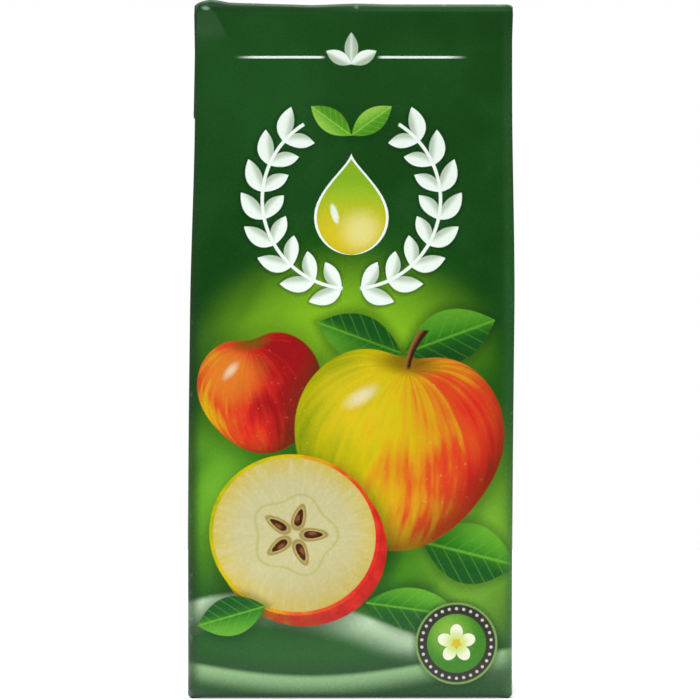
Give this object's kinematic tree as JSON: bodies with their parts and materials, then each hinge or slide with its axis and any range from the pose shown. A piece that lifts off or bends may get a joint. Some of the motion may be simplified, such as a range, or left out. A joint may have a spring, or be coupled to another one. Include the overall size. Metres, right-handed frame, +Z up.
{
  "type": "juice carton",
  "caption": "Tall brick-shaped drinks carton of printed coated board, filled and sealed shut, with folded triangular flaps on its sides and base and a seal strip across the top.",
  "frame": {"origin": "centre of the carton's footprint, on the surface that it stands on", "axes": "+Z up along the height, front panel facing -Y, +X to the right as seen from the front"},
  "size_m": [0.093, 0.0628, 0.1967],
  "materials": {
    "printed_board": "printed paperboard under a thin glossy film, dark green with a fruit design on the lower half of the front"
  },
  "bodies": {
    "root": {"carton": "printed_board"}
  },
  "joints": []
}
